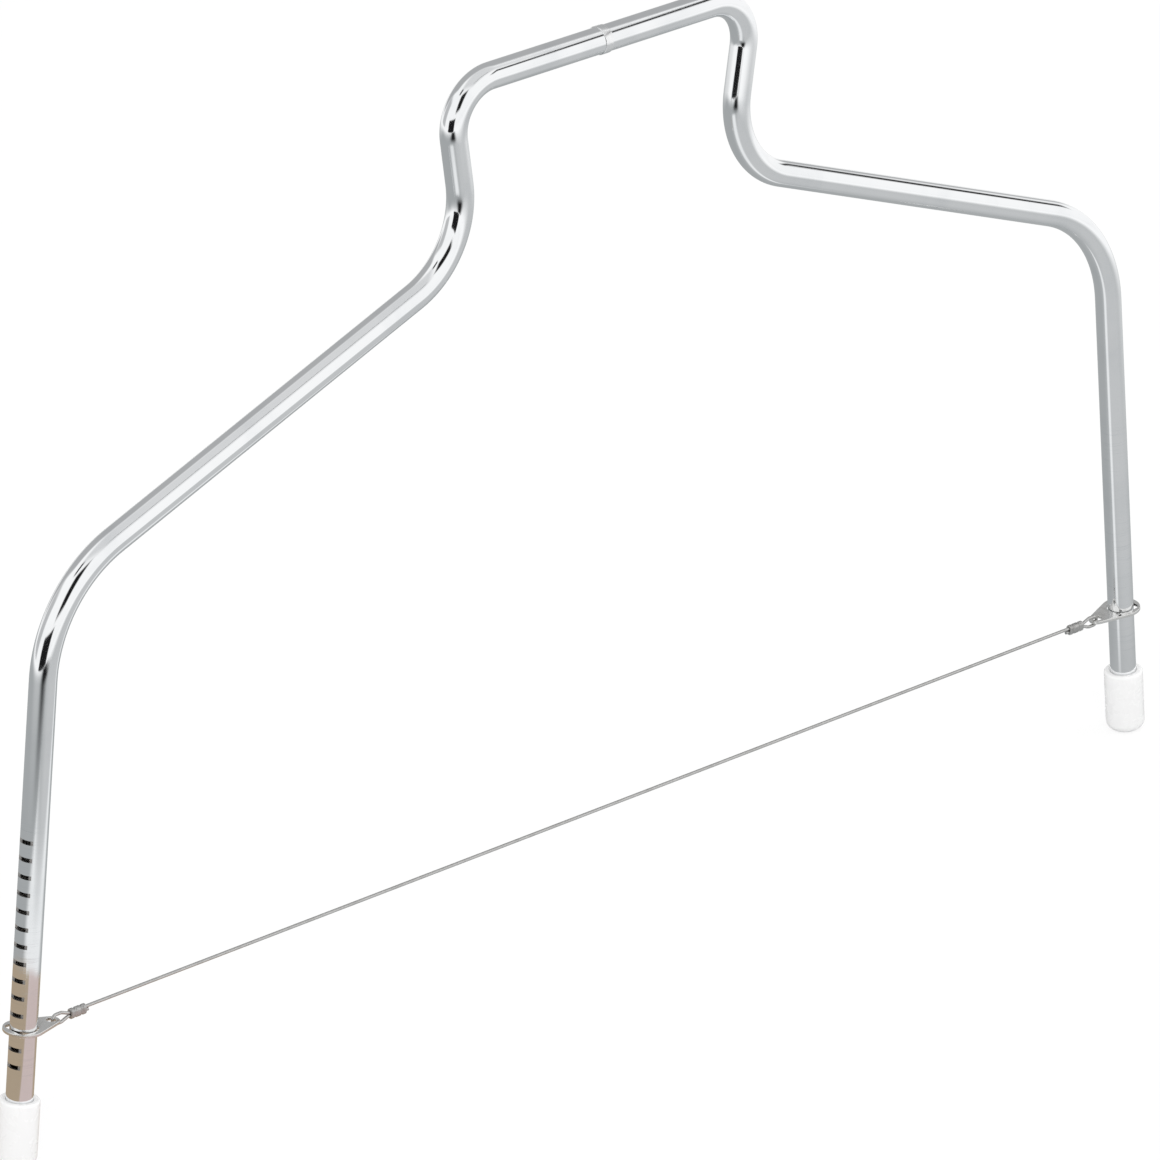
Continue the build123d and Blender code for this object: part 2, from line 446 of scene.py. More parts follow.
# Each row: name, azimuth, elevation, distance, width, height, colour, fade, roll
room_cards = (
    ("dark_low_card", -157, 0, 1.3, 1.16, 0.5, flag_black, (0.12, 0.1), 0),
    ("camera_card", -133, 34, 2.2, 1.25, 1.6, flag_black, (0.25, 0.2), 0),
    ("ceiling_card", -60, 80, 2.3, 3.4, 3.4, ceiling_grey, (0.25, 0.25), 0),
    ("back_card", 66, 34, 2.2, 5.0, 4.0, wall_grey, (0.14, 0.22), 0),
    ("side_card", 133, 12, 2.3, 1.9, 2.2, side_grey, (0.25, 0.25), 0),
    ("handle_flag", -36, 41, 1.8, 1.5, 0.27, flag_black, (0.2, 0.42), -20),
    ("arm_flag", 10, 20, 1.8, 1.0, 0.5, flag_black, (0.2, 0.45), -25),
    ("line_flag", -73, 58, 1.8, 1.2, 0.08, flag_black, (0.2, 0.4), 0),
    ("shoulder_flag", -175, 56, 2.0, 0.5, 0.5, flag_black, (0.3, 0.3), 0),
)
for name, azimuth, elevation, distance, width, height, colour, fade, roll in room_cards:
    place = room_middle + toward(azimuth, elevation) * distance
    card(name, place, room_middle, width, height, colour, fade, roll)

# %% [markdown]
# Three effects return in several finishes, so each is a node group with its own inputs.
# "drawn_lines" are the fine lines that a drawing die leaves along a tube or a wire.
# "handling_marks" are the faint cloudy marks that hands and use leave in the polish.
# "slide_scuffs" are the hairlines round a leg where a plate slides over it.

# %% Shared finish groups


def drawn_lines_group():
    """Streaks along the metal: noise that is fine across and long along."""
    tree, given, result = start_group(
        "drawn_lines", {"Vector": None, "Across": 9000.0, "Along": 60.0}, ["Lines"]
    )
    scale = add_node(
        tree, "ShaderNodeCombineXYZ",
        {0: given.outputs["Across"], 1: given.outputs["Across"], 2: given.outputs["Along"]},
    )
    spot = vector_step(tree, "MULTIPLY", given.outputs["Vector"], scale.outputs[0])
    noise = add_node(
        tree, "ShaderNodeTexNoise", {"Vector": spot, "Scale": 1.0, "Detail": 3.0, "Roughness": 0.6}
    )
    tree.links.new(noise.outputs["Fac"], result.inputs["Lines"])
    return tree


def handling_marks_group():
    """Soft clouds with a few sharper smears, from 0 to 1."""
    tree, given, result = start_group("handling_marks", {"Vector": None, "Scale": 60.0}, ["Marks"])
    cloud = add_node(
        tree, "ShaderNodeTexNoise",
        {"Vector": given.outputs["Vector"], "Scale": given.outputs["Scale"], "Detail": 5.0,
         "Roughness": 0.62, "Distortion": 0.6},
    )
    ramp = add_node(
        tree, "ShaderNodeMapRange", {"Value": cloud.outputs["Fac"], "From Min": 0.42, "From Max": 0.72},
        interpolation_type="SMOOTHSTEP",
    )
    tree.links.new(ramp.outputs[0], result.inputs["Marks"])
    return tree


def slide_scuffs_group():
    """Thin rings across a leg, where they are strong enough, between two heights."""
    tree, given, result = start_group(
        "slide_scuffs", {"Vector": None, "Low": 0.0, "High": 0.1, "Rings": 2600.0}, ["Scuffs"]
    )
    across_scale = 90.0
    fade = 4 * mm
    parts = add_node(tree, "ShaderNodeSeparateXYZ", {0: given.outputs["Vector"]})
    height = parts.outputs["Z"]
    scale = add_node(
        tree, "ShaderNodeCombineXYZ", {0: across_scale, 1: across_scale, 2: given.outputs["Rings"]}
    )
    spot = vector_step(tree, "MULTIPLY", given.outputs["Vector"], scale.outputs[0])
    noise = add_node(tree, "ShaderNodeTexNoise", {"Vector": spot, "Scale": 1.0, "Detail": 2.0})
    rings = add_node(
        tree, "ShaderNodeMapRange", {"Value": noise.outputs["Fac"], "From Min": 0.56, "From Max": 0.68}
    )
    over_low = math_step(tree, "SUBTRACT", height, given.outputs["Low"])
    under_high = math_step(tree, "SUBTRACT", given.outputs["High"], height)
    inside = math_step(tree, "MINIMUM", over_low, under_high)
    band = add_node(tree, "ShaderNodeMapRange", {"Value": inside, "From Max": fade})
    both = math_step(tree, "MULTIPLY", rings.outputs[0], band.outputs[0])
    tree.links.new(both, result.inputs["Scuffs"])
    return tree


drawn_lines = drawn_lines_group()
handling_marks = handling_marks_group()
slide_scuffs = slide_scuffs_group()
print("finish groups:", [group.name for group in (drawn_lines, handling_marks, slide_scuffs)])

# %% [markdown]
# All the metals share one recipe: a shader whose roughness drifts between a clean and a
# handled value, a colour that drifts between two close tones, and a bump from drawn lines.
# What differs is the values, so one function makes them all. Tubes and wires are bent, so
# their lines follow an attribute called "unbent", each point's place on the straight stock
# before it was bent. Flat pieces use their object coordinates.

# %% Metal finishes


def colour_mix(tree, share, first, second):
    """Colour between two, by a share from 0 to 1."""
    ramp = add_node(tree, "ShaderNodeValToRGB", {"Fac": share})
    ramp.color_ramp.elements[0].color = (*first, 1)
    ramp.color_ramp.elements[1].color = (*second, 1)
    return ramp.outputs["Color"]


def metal(name, clean, worn, rough, marks_scale, lines, bump, unbent=False, scuffed=None):
    """Metal from a clean and a worn colour, two roughnesses, and lines of a given height."""
    material, tree, output = new_material(name)
    if unbent:
        spot = add_node(tree, "ShaderNodeAttribute", attribute_name="unbent").outputs["Vector"]
    else:
        spot = add_node(tree, "ShaderNodeTexCoord").outputs["Object"]
    marks = add_node(
        tree, "ShaderNodeGroup", {"Vector": spot, "Scale": marks_scale}, node_tree=handling_marks
    )
    streaks = add_node(
        tree, "ShaderNodeGroup", {"Vector": spot, "Across": lines[0], "Along": lines[1]},
        node_tree=drawn_lines,
    )
    wear = marks.outputs["Marks"]
    if scuffed:
        scuffs = add_node(
            tree, "ShaderNodeGroup", {"Vector": spot, "Low": scuffed[0], "High": scuffed[1]},
            node_tree=slide_scuffs,
        )
        wear = math_step(tree, "MAXIMUM", wear, scuffs.outputs["Scuffs"])
    tint = colour_mix(tree, wear, clean, worn)
    gloss = add_node(
        tree, "ShaderNodeMapRange", {"Value": wear, "To Min": rough[0], "To Max": rough[1]}
    )
    relief = add_node(
        tree, "ShaderNodeBump",
        {"Height": streaks.outputs["Lines"], "Strength": bump[0], "Distance": bump[1]},
    )
    shader = add_node(
        tree, "ShaderNodeBsdfPrincipled",
        {"Base Color": tint, "Roughness": gloss.outputs[0], "Metallic": 1.0,
         "Normal": relief.outputs[0]},
    )
    tree.links.new(shader.outputs[0], output.inputs[0])
    return material


chrome = metal(
    "bright_chrome", (0.92, 0.93, 0.94), (0.86, 0.875, 0.89), (0.055, 0.11), 45.0,
    (2600.0, 14.0), (0.05, 0.004 * mm), unbent=True, scuffed=(22 * mm, 104 * mm),
)
bare_steel = metal(
    "bare_tube_steel", (0.58, 0.57, 0.56), (0.44, 0.43, 0.42), (0.38, 0.6), 220.0,
    (5200.0, 900.0), (0.2, 0.02 * mm),
)
bead_metal = metal(
    "smoothed_bead", (0.93, 0.935, 0.94), (0.88, 0.89, 0.90), (0.2, 0.3), 260.0,
    (1500.0, 1500.0), (0.12, 0.01 * mm),
)
plate_metal = metal(
    "stamped_plate", (0.84, 0.835, 0.82), (0.70, 0.69, 0.67), (0.2, 0.38), 240.0,
    (700.0, 5200.0), (0.2, 0.01 * mm),
)
wire_metal = metal(
    "drawn_wire", (0.60, 0.595, 0.585), (0.51, 0.505, 0.495), (0.24, 0.4), 300.0,
    (9000.0, 160.0), (0.3, 0.01 * mm), unbent=True,
)
ferrule_metal = metal(
    "crimped_sleeve", (0.56, 0.555, 0.545), (0.42, 0.415, 0.405), (0.36, 0.5), 320.0,
    (2400.0, 2400.0), (0.1, 0.01 * mm),
)
spigot_metal = metal(
    "drawn_spigot", (0.56, 0.56, 0.57), (0.42, 0.42, 0.43), (0.25, 0.4), 150.0,
    (60.0, 4200.0), (0.3, 0.02 * mm),
)
metals = (chrome, bare_steel, bead_metal, plate_metal, wire_metal, ferrule_metal, spigot_metal)
print("metals:", [material.name for material in metals])

# %% [markdown]
# The feet are moulded from a milky, slightly clear plastic. Light goes a little way in and
# comes out again, which the shader's subsurface does, and a gentle ripple and a few scuffs
# keep the gloss from looking perfect.

# %% Milky plastic
foot_scatter_depth = 2.5 * mm


def milky_plastic():
    """White moulded plastic with a soft inner glow."""
    material, tree, output = new_material("milky_plastic")
    spot = add_node(tree, "ShaderNodeTexCoord").outputs["Object"]
    marks = add_node(
        tree, "ShaderNodeGroup", {"Vector": spot, "Scale": 180.0}, node_tree=handling_marks
    )
    tint = colour_mix(tree, marks.outputs["Marks"], (0.955, 0.955, 0.953), (0.94, 0.941, 0.94))
    gloss = add_node(
        tree, "ShaderNodeMapRange", {"Value": marks.outputs["Marks"], "To Min": 0.22, "To Max": 0.42}
    )
    ripple = add_node(tree, "ShaderNodeTexNoise", {"Vector": spot, "Scale": 240.0, "Detail": 2.0})
    relief = add_node(
        tree, "ShaderNodeBump",
        {"Height": ripple.outputs["Fac"], "Strength": 0.03, "Distance": 0.1 * mm},
    )
    shader = add_node(
        tree, "ShaderNodeBsdfPrincipled",
        {"Base Color": tint, "Roughness": gloss.outputs[0], "Normal": relief.outputs[0],
         "Subsurface Weight": 0.35, "Subsurface Radius": (1.0, 1.0, 1.0),
         "Subsurface Scale": foot_scatter_depth, "IOR": 1.5},
    )
    tree.links.new(shader.outputs[0], output.inputs[0])
    return material


foot_plastic = milky_plastic()
print("plastic:", foot_plastic.name)

# %% [markdown]
# A bent tube is straight runs joined by arcs. The corners and the bend radii say it all, so
# one function rounds a list of corners into a fine line of points. It serves for the frame,
# for the wire's loops, and for the outlines of turned pieces as well.

# %% Rounded routes
arc_step = radians(2.5)


def rounded_route(corners, bends, step=arc_step):
    """Points along straight runs whose inner corners are rounded to these radii."""
    corners = [Vector(corner) for corner in corners]
    points = [corners[0]]
    for before, corner, after, bend in zip(corners, corners[1:], corners[2:], bends):
        into = (corner - before).normalized()
        out = (after - corner).normalized()
        turn = into.angle(out)
        start = corner - into * bend * tan(turn / 2)
        middle = start + (out - into * into.dot(out)).normalized() * bend
        steps = max(2, round(turn / step))
        for index in range(steps + 1):
            swing = turn * index / steps
            side = (start - middle).normalized()
            points.append(middle + (side * cos(swing) + into * sin(swing)) * bend)
    points.append(corners[-1])
    return points


shoulder_height = 172 * mm
neck_half_width = 51 * mm
neck_height = handle_height - 52 * mm
handle_half_width = 59 * mm
frame_bends = (41 * mm, 27.5 * mm, 14 * mm)
foot_height = 0.273 * mm       # a leaning cap touches the floor with the edge of its round
cap_floor = 3 * mm


def frame_route(side):
    """Axis of one half of the frame, from its foot to the middle of the handle."""
    corners = (
        leg_point(foot_height, side) + leg_up(side) * cap_floor,
        leg_point(shoulder_height, side),
        (side * neck_half_width, 0, neck_height),
        (side * handle_half_width, 0, handle_height),
        (0, 0, handle_height),
    )
    return rounded_route(corners, frame_bends)


print("points in the frame's route:", len(frame_route(1)))

# %% [markdown]
# The tube itself follows a rule, so Geometry Nodes make it: sweep a circle along the route,
# take a smaller sweep out of it for the bore, and take a row of boxes out of the leg for the
# saw cuts. The same tree, without a bore, later makes the wire and its loops.

# %% Geometry tree for tubes and wires
tube_inputs = {
    "Route": "NodeSocketGeometry",
    "Outer Radius": "NodeSocketFloat",
    "Bore Radius": "NodeSocketFloat",
    "Sides": "NodeSocketInt",
    "Overrun": "NodeSocketFloat",
    "Notch Count": "NodeSocketInt",
    "First Notch": "NodeSocketVector",
    "Notch Step": "NodeSocketVector",
    "Notch Size": "NodeSocketVector",
    "Notch Turn": "NodeSocketVector",
    "Material": "NodeSocketMaterial",
}


def swept(tree, curve, radius, sides):
    """Closed round bar along a curve."""
    ring = add_node(tree, "GeometryNodeCurvePrimitiveCircle", {"Resolution": sides, "Radius": radius})
    bar = add_node(
        tree, "GeometryNodeCurveToMesh",
        {"Curve": curve, "Profile Curve": ring.outputs[0], "Fill Caps": True},
    )
    return bar.outputs[0]


def lengthened(tree, curve, overrun):
    """The curve with both its ends moved outward."""
    tangent = add_node(tree, "GeometryNodeInputTangent")
    for start, end, sign in ((1, 0, -1.0), (0, 1, 1.0)):
        tip = add_node(tree, "GeometryNodeCurveEndpointSelection", {"Start Size": start, "End Size": end})
        reach = math_step(tree, "MULTIPLY", overrun, sign)
        shift = add_node(
            tree, "ShaderNodeVectorMath", {0: tangent.outputs[0], "Scale": reach}, operation="SCALE"
        )
        moved = add_node(
            tree, "GeometryNodeSetPosition",
            {"Geometry": curve, "Selection": tip.outputs[0], "Offset": shift.outputs[0]},
        )
        curve = moved.outputs[0]
    return curve


def notch_boxes(tree, given):
    """A box at each notch."""
    row = add_node(
        tree, "GeometryNodeMeshLine",
        {"Count": given["Notch Count"], "Start Location": given["First Notch"],
         "Offset": given["Notch Step"]},
        mode="OFFSET",
    )
    block = add_node(tree, "GeometryNodeMeshCube", {"Size": given["Notch Size"]})
    boxes = add_node(
        tree, "GeometryNodeInstanceOnPoints",
        {"Points": row.outputs[0], "Instance": block.outputs[0], "Rotation": given["Notch Turn"]},
    )
    return add_node(tree, "GeometryNodeRealizeInstances", {0: boxes.outputs[0]}).outputs[0]


def tube_tree():
    """Tree that turns a route into a tube with a bore and notches, or a plain wire."""
    tree = bpy.data.node_groups.new("bent_tube", "GeometryNodeTree")
    for label, kind in tube_inputs.items():
        tree.interface.new_socket(label, in_out="INPUT", socket_type=kind)
    tree.interface.new_socket("Tube", in_out="OUTPUT", socket_type="NodeSocketGeometry")
    given = tree.nodes.new("NodeGroupInput").outputs
    result = tree.nodes.new("NodeGroupOutput")
    curve = add_node(tree, "GeometryNodeMeshToCurve", {0: given["Route"]}).outputs[0]
    solid = swept(tree, curve, given["Outer Radius"], given["Sides"])
    bore = swept(tree, lengthened(tree, curve, given["Overrun"]), given["Bore Radius"], given["Sides"])
    cut = add_node(
        tree, "GeometryNodeMeshBoolean", {"Mesh 1": solid}, operation="DIFFERENCE", solver="EXACT"
    )
    tree.links.new(bore, cut.inputs["Mesh 2"])
    tree.links.new(notch_boxes(tree, given), cut.inputs["Mesh 2"])
    hollow = add_node(
        tree, "FunctionNodeCompare", {0: given["Bore Radius"], 1: 0.0},
        data_type="FLOAT", operation="GREATER_THAN",
    )
    chosen = add_node(
        tree, "GeometryNodeSwitch",
        {"Switch": hollow.outputs[0], "False": solid, "True": cut.outputs[0]},
        input_type="GEOMETRY",
    )
    smooth = add_node(tree, "GeometryNodeSetShadeSmooth", {"Geometry": chosen.outputs[0]})
    real = add_node(tree, "GeometryNodeRealizeInstances", {0: smooth.outputs[0]})
    painted = add_node(
        tree, "GeometryNodeSetMaterial", {"Geometry": real.outputs[0], "Material": given["Material"]}
    )
    tree.links.new(painted.outputs[0], result.inputs[0])
    return tree


bent_tube = tube_tree()
print("tree inputs:", list(tube_inputs))

# %% [markdown]
# To run the tree, a route becomes a chain of edges, the modifier's inputs are set by their
# identifiers, and the evaluated result is copied into a plain mesh. Then each point gets its
# "unbent" place. The boolean leaves odd slivers of faces round each notch, and a mirror
# finish would show them, so the normals of the round skin are set from the route itself:
# every one points straight away from the tube's axis.

# %% Running the tree


def link_piece(name, mesh):
    """Object that shows a mesh at the origin."""
    piece = bpy.data.objects.new(name, mesh)
    bpy.context.scene.collection.objects.link(piece)
    return piece


def run_tree(name, route, **values):
    """Mesh that the tube tree makes from a route and named values."""
    chain = bpy.data.meshes.new(name + "_route")
    chain.from_pydata(route, [(i, i + 1) for i in range(len(route) - 1)], [])
    carrier = link_piece(name + "_carrier", chain)
    modifier = carrier.modifiers.new("tube", "NODES")
    modifier.node_group = bent_tube
    sockets = {item.name: item.identifier for item in bent_tube.interface.items_tree}
    for label, value in values.items():
        modifier[sockets[label.replace("_", " ").title()]] = value
    depsgraph = bpy.context.evaluated_depsgraph_get()
    mesh = bpy.data.meshes.new_from_object(carrier.evaluated_get(depsgraph))
    mesh.name = name
    mesh.materials.clear()
    mesh.materials.append(values["material"])
    bpy.data.objects.remove(carrier)
    return mesh


def places_on_route(points, route):
    """How far along the route each point lies, and the vector to it from the route's line."""
    line = np.array([tuple(p) for p in route])
    starts, runs = line[:-1], np.diff(line, axis=0)
    lengths = np.linalg.norm(runs, axis=1)
    before = np.concatenate([[0], np.cumsum(lengths)[:-1]])
    best = np.full(len(points), np.inf)
    along = np.zeros(len(points))
    away = np.zeros((len(points), 3))
    for start, run, length, base in zip(starts, runs, lengths, before):
        share = np.clip((points - start) @ run / length**2, 0, 1)
        gap = points - start - share[:, None] * run
        distance = (gap**2).sum(1)
        near = distance < best
        best[near] = distance[near]
        along[near] = base + share[near] * length
        away[near] = gap[near]
    return along, away


def tangents_on_route(along, route):
    """Direction of the route at each distance along it, easing across each corner."""
    line = np.array([tuple(p) for p in route])
    runs = np.diff(line, axis=0)
    lengths = np.linalg.norm(runs, axis=1)
    middles = np.cumsum(lengths) - lengths / 2
    units = runs / lengths[:, None]
    eased = np.stack([np.interp(along, middles, units[:, axis]) for axis in range(3)], 1)
    return eased / np.linalg.norm(eased, axis=1)[:, None]


def wrap_tube(mesh, route, radius, bore):
    """Writes the unbent places, sets true round normals, and marks the faces cut bare."""
    points = np.zeros(len(mesh.vertices) * 3)
    mesh.vertices.foreach_get("co", points)
    points = points.reshape(-1, 3)
    along, away = places_on_route(points, route)
    tangents = tangents_on_route(along, route)
    away -= (away * tangents).sum(1)[:, None] * tangents
    depth = np.array([0.0, 1.0, 0.0])
    flat = np.cross(tangents, depth)
    distance = np.linalg.norm(away, axis=1)
    unbent = np.stack([away @ depth, (away * flat).sum(1), along], 1)
    store = mesh.attributes.new("unbent", "FLOAT_VECTOR", "POINT")
    store.data.foreach_set("vector", unbent.ravel())
    outward = away / np.maximum(distance, 1e-9)[:, None]
    normals = np.zeros((len(mesh.loops), 3))
    for face in mesh.polygons:
        corners = list(face.vertices)
        own = np.array(face.normal)
        facing = float((outward[corners] @ own).mean())
        skin = facing > 0.5 and distance[corners].min() > radius * 0.97
        inside = facing < -0.5 and distance[corners].max() < bore * 1.03
        loops = list(face.loop_indices)
        normals[loops] = outward[corners] if skin else -outward[corners] if inside else own
        face.material_index = 0 if skin or not bore else 1
    mesh.normals_split_custom_set([tuple(n) for n in normals])


tube_sides = 96
notch_count = 14
notches_below_rest = 2
notch_pitch = 5.25 * mm
notch_depth = 1.2 * mm
notch_width = 1.3 * mm
cut_overrun = 2 * mm


def notch_values(side, plate_height):
    """The row of saw cuts on one leg, as the tree wants them."""
    length = tube_radius + cut_overrun
    lowest = leg_point(plate_height, side) - leg_up(side) * notches_below_rest * notch_pitch
    centre = lowest - leg_inward(side) * (tube_radius - notch_depth + length / 2)
    return {
        "notch_count": notch_count,
        "first_notch": tuple(centre),
        "notch_step": tuple(leg_up(side) * notch_pitch),
        "notch_size": (length, 2 * tube_radius + cut_overrun, notch_width),
        "notch_turn": (0.0, -side * leg_splay, 0.0),
    }


# %% [markdown]
# Each half of the frame is now one call of the tree. The legs are notched on their outward
# side, and the two halves meet in the middle of the handle. The first material slot is the
# chrome, and the second the bare steel that the bore and the saw cuts show.

# %% Frame tubes
strand_gap = 0.04 * mm
strand_offset = wire_radius + strand_gap / 2
plate_ring_radius = 6 * mm
plate_eye_distance = plate_ring_radius + 4.2 * mm
plate_height = wire_height - strand_offset + plate_eye_distance * sin(leg_splay)

for side, side_name in side_names.items():
    name = "chromed_tube_" + side_name
    route = frame_route(side)
    mesh = run_tree(
        name, route, outer_radius=tube_radius, bore_radius=tube_radius - tube_wall,
        sides=tube_sides, overrun=cut_overrun, material=chrome, **notch_values(side, plate_height),
    )
    mesh.materials.append(bare_steel)
    wrap_tube(mesh, route, tube_radius, tube_radius - tube_wall)
    tube = link_piece(name, mesh)
    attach(tube, "frame")
    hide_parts("frame_tube_" + side_name)
    print(name, "faces", len(mesh.polygons))

# %% [markdown]
# Caps, the bead on the handle and the crimped sleeves are all turned shapes. One function
# turns a profile of radius and height about an axis. With a spread it pulls the circle into
# an oval, which is just what a sleeve pressed round two strands is.

# %% Turned pieces


def placed(origin, x_dir, z_dir):
    """Matrix of a frame at an origin with these X and Z directions."""
    y_dir = z_dir.cross(x_dir)
    turn = Matrix((x_dir, y_dir, z_dir)).transposed().to_4x4()
    return Matrix.Translation(origin) @ turn


def turned(name, profile, place, material, sides=72, spread=0.0, closed=False):
    """Piece made by turning (radius, height) points about the place's Z axis."""
    points, rings, faces = [], [], []
    for radius, height in profile:
        count = sides if radius > 0 else 1
        rings.append(range(len(points), len(points) + count))
        for index in range(count):
            angle = tau * (index + 0.5) / sides
            rise = radius * sin(angle)
            pull = 0 if radius == 0 else spread if rise > 0 else -spread
            points.append((radius * cos(angle) if radius else 0.0, rise + pull, height))
    following = rings[1:] + (rings[:1] if closed else [])
    for ring, other in zip(rings, following):
        for index in range(sides):
            later = index + 1
            corners = [
                ring[index % len(ring)], ring[later % len(ring)],
                other[later % len(other)], other[index % len(other)],
            ]
            faces.append(list(dict.fromkeys(corners)))
    mesh = bpy.data.meshes.new(name)
    mesh.from_pydata(points, [], faces)
    mesh.transform(place)
    tidy = bmesh.new()
    tidy.from_mesh(mesh)
    bmesh.ops.recalc_face_normals(tidy, faces=tidy.faces)
    tidy.to_mesh(mesh)
    tidy.free()
    mesh.shade_smooth()
    mesh.set_sharp_from_angle(angle=radians(35))
    mesh.materials.append(material)
    return link_piece(name, mesh)


def profile_of(corners, rounds, step=radians(9)):
    """Turned profile with rounded corners, as (radius, height) pairs."""
    route = rounded_route([(radius, height, 0) for radius, height in corners], rounds, step)
    return [(point.x, point.y) for point in route]


# %% [markdown]
# A foot cap is a thick moulded cup: a rounded bottom, a straight wall and a softly rounded
# mouth. A shallow dimple in the bottom is where the plastic entered the mould.

# %% Foot caps
cap_length = 20 * mm
cap_fit = 0.02 * mm
cap_bottom_round = 3 * mm
cap_mouth_round = 0.7 * mm
cap_dimple_radius = 1.1 * mm
cap_dimple_depth = 0.35 * mm
cap_inner = tube_radius + cap_fit
cap_profile = profile_of(
    (
        (0, cap_dimple_depth),
        (cap_dimple_radius, cap_dimple_depth),
        (cap_dimple_radius + cap_dimple_depth, 0),
        (cap_radius, 0),
        (cap_radius, cap_length),
        (cap_inner, cap_length),
        (cap_inner, cap_floor),
        (0, cap_floor),
    ),
    (0.3 * mm, 0.25 * mm, cap_bottom_round, cap_mouth_round, cap_mouth_round / 2, 0.2 * mm),
)
for side, side_name in side_names.items():
    place = placed(leg_point(foot_height, side), leg_inward(side), leg_up(side))
    cap = turned("milky_cap_" + side_name, cap_profile, place, foot_plastic)
    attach(cap, "frame")
    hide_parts("foot_cap_" + side_name)
    print(cap.name, "faces", len(cap.data.polygons))

# %% [markdown]
# The two halves of the frame meet under a low bead, smoothed and plated over. It reads as a
# pale ring in the middle of the handle, because its finish is softer than the tube's. Inside
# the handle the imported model's own spigot stays, and only gets a drawn steel finish.

# %% Bead and spigot
bead_low, bead_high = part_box("seam_bead")
bead_radius = measured(bead_high.y)
bead_width = bead_high.x - bead_low.x
bead_inner = tube_radius + 0.02 * mm
bead_round = 0.24 * mm
bead_profile = profile_of(
    (
        (bead_inner, 0),
        (bead_inner, -bead_width / 2),
        (bead_radius, -bead_width / 2),
        (bead_radius, bead_width / 2),
        (bead_inner, bead_width / 2),
        (bead_inner, 0),
    ),
    (0.02 * mm, bead_round * 0.9, bead_round * 0.9, 0.02 * mm),
)
across_x = Vector((1, 0, 0))
handle_middle = placed(Vector((0, 0, handle_height)), above, across_x)
bead = turned("plated_bead", bead_profile[:-1], handle_middle, bead_metal, closed=True)
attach(bead, "frame")
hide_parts("seam_bead")

spigot = frame["nodes"]["handle_spigot"]
spigot.data.materials.clear()
spigot.data.materials.append(spigot_metal)
print("bead radius", bead_radius)

# %% [markdown]
# An end plate is stamped from sheet: a ring round the leg, drawn out into a tongue with an
# eye. Its outline and holes are arcs joined by straight lines, so a flat filled curve suits
# it well. The curve gets its thickness by extruding and its softened edges by a bevel, is
# made a mesh, and only then is it put in its place on the leg.

# %% End plates
plate_thickness = 1.0 * mm
plate_edge = 0.2 * mm
plate_hole_side = tube_radius + 0.3 * mm
plate_hole_flat = tube_radius + 0.15 * mm
plate_hole_corner = 1.6 * mm
plate_eye_radius = 1.45 * mm
plate_tip_radius = plate_eye_radius + 1.15 * mm
seat_travel = joint_of["right_lock"]["range_m"][1]


def arcs_outline(arcs, step=4):
    """Points round an outline of arcs, each (x, y, radius, first angle, last angle) in degrees."""
    points = []
    for x, y, radius, first, last in arcs:
        count = max(2, round(abs(last - first) / step))
        for index in range(count + 1):
            angle = radians(first + (last - first) * index / count)
            points.append((x + radius * cos(angle), y + radius * sin(angle)))
    return points


def plate_outlines():
    """Outer edge, hole for the leg, and eye for the wire."""
    lean = degrees(np.arccos((plate_ring_radius - plate_tip_radius) / plate_eye_distance))
    outer = arcs_outline((
        (0, 0, plate_ring_radius, lean, 360 - lean),
        (plate_eye_distance, 0, plate_tip_radius, -lean, lean),
    ))
    corner_x = plate_hole_corner - plate_hole_flat
    corner_y = plate_hole_side - plate_hole_corner
    hole = arcs_outline((
        (0, 0, plate_hole_side, -90, 90),
        (corner_x, corner_y, plate_hole_corner, 90, 180),
        (corner_x, -corner_y, plate_hole_corner, 180, 270),
    ))
    eye = arcs_outline(((plate_eye_distance, 0, plate_eye_radius, 0, 352),), step=8)
    return outer, hole, eye


def stamped(name, outlines, thickness, edge, place, material):
    """Sheet piece from its outlines, with softened edges."""
    curve = bpy.data.curves.new(name, "CURVE")
    curve.dimensions = "2D"
    curve.fill_mode = "BOTH"
    curve.extrude = thickness / 2 - edge
    curve.bevel_depth = edge
    curve.bevel_resolution = 3
    curve.offset = -edge
    for outline in outlines:
        spline = curve.splines.new("POLY")
        spline.points.add(len(outline) - 1)
        for point, (x, y) in zip(spline.points, outline):
            point.co = (x, y, 0, 1)
        spline.use_cyclic_u = True
    carrier = link_piece(name + "_carrier", curve)
    depsgraph = bpy.context.evaluated_depsgraph_get()
    mesh = bpy.data.meshes.new_from_object(carrier.evaluated_get(depsgraph))
    mesh.name = name
    bpy.data.objects.remove(carrier)
    tidy = bmesh.new()
    tidy.from_mesh(mesh)
    bmesh.ops.remove_doubles(tidy, verts=tidy.verts, dist=0.001 * mm)
    bmesh.ops.recalc_face_normals(tidy, faces=tidy.faces)
    tidy.to_mesh(mesh)
    tidy.free()
    mesh.transform(place)
    mesh.materials.clear()
    mesh.materials.append(material)
    mesh.shade_smooth()
    mesh.set_sharp_from_angle(angle=radians(40))
    return link_piece(name, mesh)


for side, side_name in side_names.items():
    place = placed(leg_point(plate_height, side), leg_inward(side), leg_up(side))
    plate = stamped(
        "stamped_plate_" + side_name, plate_outlines(), plate_thickness, plate_edge, place, plate_metal
    )
    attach(plate, side_name + "_plate")
    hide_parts("end_plate_" + side_name)
    print(plate.name, "faces", len(plate.data.polygons))

# %% [markdown]
# The wire ends in a loop: it goes through the eye, turns back under the plate, and both
# strands run into a crimped sleeve, where the cut tail just shows. Sweeping the same tree
# along the loop's route keeps its thickness true through every bend.

